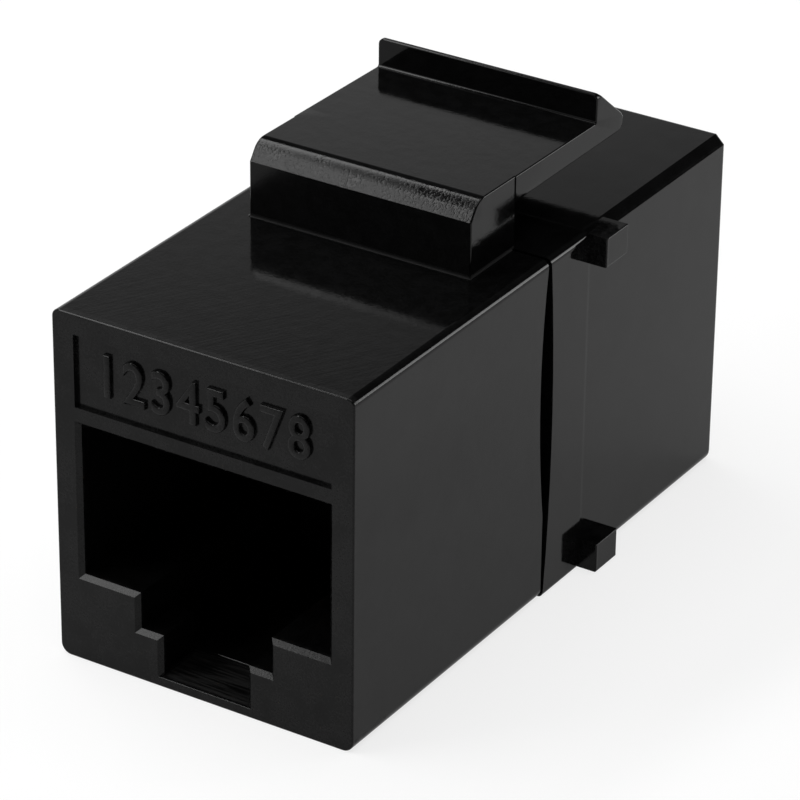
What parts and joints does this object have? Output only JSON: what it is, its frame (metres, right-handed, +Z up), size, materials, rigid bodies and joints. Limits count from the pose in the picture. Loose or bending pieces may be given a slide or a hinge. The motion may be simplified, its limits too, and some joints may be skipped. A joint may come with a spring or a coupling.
{
  "type": "keystone coupler",
  "caption": "Black inline keystone coupler with a modular port at each end, a sprung latch arm on top, side stop lugs and sprung contact wires joined by a small board inside.",
  "frame": {"origin": "centre of the bottom, under the seam between the two housings", "axes": "+Z up towards the latch, +Y from the label face to the rear port, +X to the right seen from the label face"},
  "size_m": [0.0164, 0.03, 0.0207],
  "materials": {
    "front_housing": "moulded black, satin with fine handling marks",
    "rear_housing": "moulded black, glossy",
    "latch_arm": "moulded black, glossy",
    "contact_insert": "moulded black, matt",
    "circuit_board": "green solder mask",
    "contact": "gold-plated spring wire"
  },
  "bodies": {
    "coupler_body": {"front_housing": "front_housing", "rear_housing": "rear_housing", "circuit_board": "circuit_board", "front_contact_insert": "contact_insert", "rear_contact_insert": "contact_insert", "front_contact_1": "contact", "front_contact_2": "contact", "front_contact_3": "contact", "front_contact_4": "contact", "front_contact_5": "contact", "front_contact_6": "contact", "front_contact_7": "contact", "front_contact_8": "contact", "rear_contact_1": "contact", "rear_contact_2": "contact", "rear_contact_3": "contact", "rear_contact_4": "contact", "rear_contact_5": "contact", "rear_contact_6": "contact", "rear_contact_7": "contact", "rear_contact_8": "contact"},
    "latch": {"latch_arm": "latch_arm"}
  },
  "joints": [
    {"name": "latch_press", "type": "hinge", "parent": "coupler_body", "child": "latch", "pos_m": [0, 0, 0.01834], "axis": [-1, 0, 0], "range_deg": [0, 9], "stiffness_Nm_per_rad": 0.4}
  ]
}
